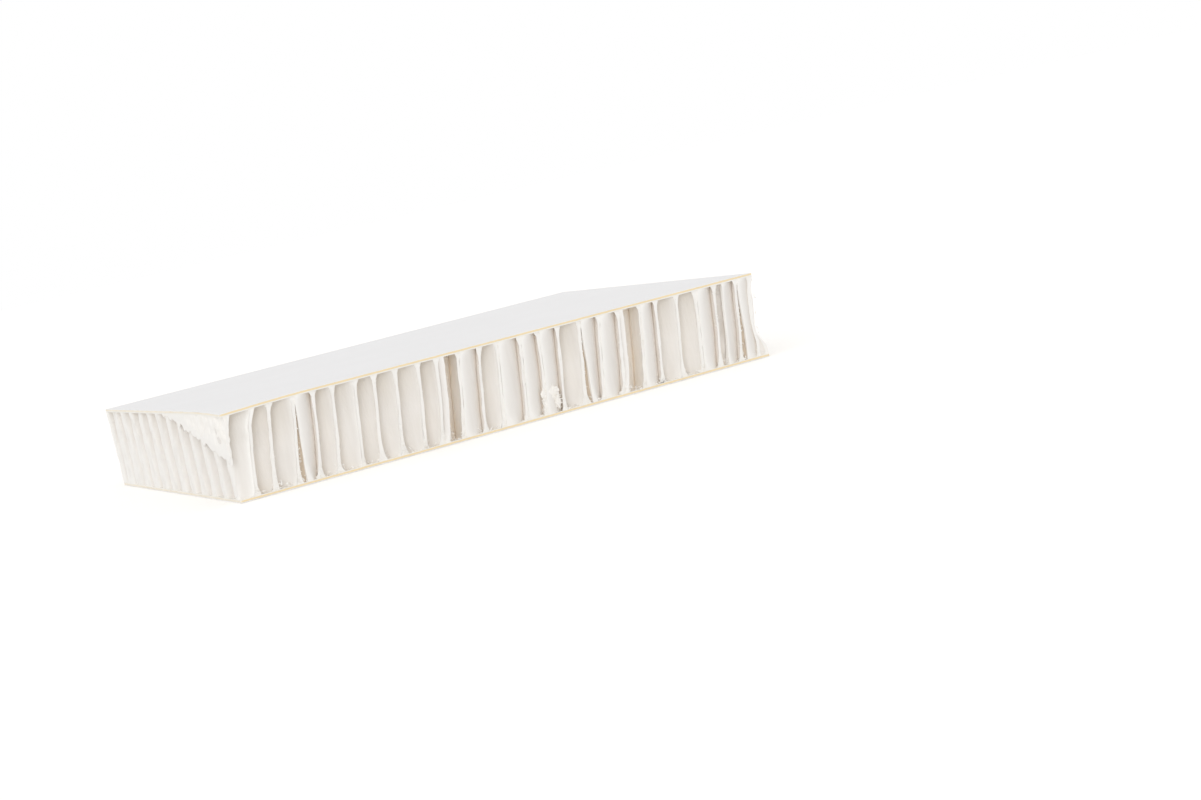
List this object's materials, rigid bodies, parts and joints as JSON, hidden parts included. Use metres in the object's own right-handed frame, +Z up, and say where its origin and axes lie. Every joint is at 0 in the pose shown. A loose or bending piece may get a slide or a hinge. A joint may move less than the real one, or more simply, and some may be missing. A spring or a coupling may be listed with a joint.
{
  "type": "paper sandwich board",
  "caption": "Flat block of rigid board: two paperboard facing sheets on a core of fluted paper layers standing on edge, with all four sides cut open.",
  "frame": {"origin": "middle of the underside of the bottom facing sheet", "axes": "+X along the long cut side, across the core's layers; +Y through the depth, away from the long cut side that faces the camera; +Z up from the bottom sheet to the top sheet"},
  "size_m": [0.13, 0.112, 0.02],
  "materials": {
    "facing_sheet": "matte",
    "core_paper": "matte"
  },
  "bodies": {
    "root": {"bottom_facing_sheet": "facing_sheet", "fluted_paper_01": "core_paper", "fluted_paper_02": "core_paper", "fluted_paper_03": "core_paper", "fluted_paper_04": "core_paper", "fluted_paper_05": "core_paper", "fluted_paper_06": "core_paper", "fluted_paper_07": "core_paper", "fluted_paper_08": "core_paper", "fluted_paper_09": "core_paper", "fluted_paper_10": "core_paper", "fluted_paper_11": "core_paper", "fluted_paper_12": "core_paper", "fluted_paper_13": "core_paper", "fluted_paper_14": "core_paper", "fluted_paper_15": "core_paper", "fluted_paper_16": "core_paper", "fluted_paper_17": "core_paper", "fluted_paper_18": "core_paper", "fluted_paper_19": "core_paper", "fluted_paper_20": "core_paper", "fluted_paper_21": "core_paper", "fluted_paper_22": "core_paper", "fluted_paper_23": "core_paper", "fluted_paper_24": "core_paper", "fluted_paper_25": "core_paper", "fluted_paper_26": "core_paper", "fluted_paper_27": "core_paper", "fluted_paper_28": "core_paper", "liner_01": "core_paper", "liner_02": "core_paper", "liner_03": "core_paper", "liner_04": "core_paper", "liner_05": "core_paper", "liner_06": "core_paper", "liner_07": "core_paper", "liner_08": "core_paper", "liner_09": "core_paper", "liner_10": "core_paper", "liner_11": "core_paper", "liner_12": "core_paper", "liner_13": "core_paper", "liner_14": "core_paper", "liner_15": "core_paper", "liner_16": "core_paper", "liner_17": "core_paper", "liner_18": "core_paper", "liner_19": "core_paper", "liner_20": "core_paper", "liner_21": "core_paper", "liner_22": "core_paper", "liner_23": "core_paper", "liner_24": "core_paper", "liner_25": "core_paper", "liner_26": "core_paper", "liner_27": "core_paper", "liner_28": "core_paper", "top_facing_sheet": "facing_sheet"}
  },
  "joints": []
}
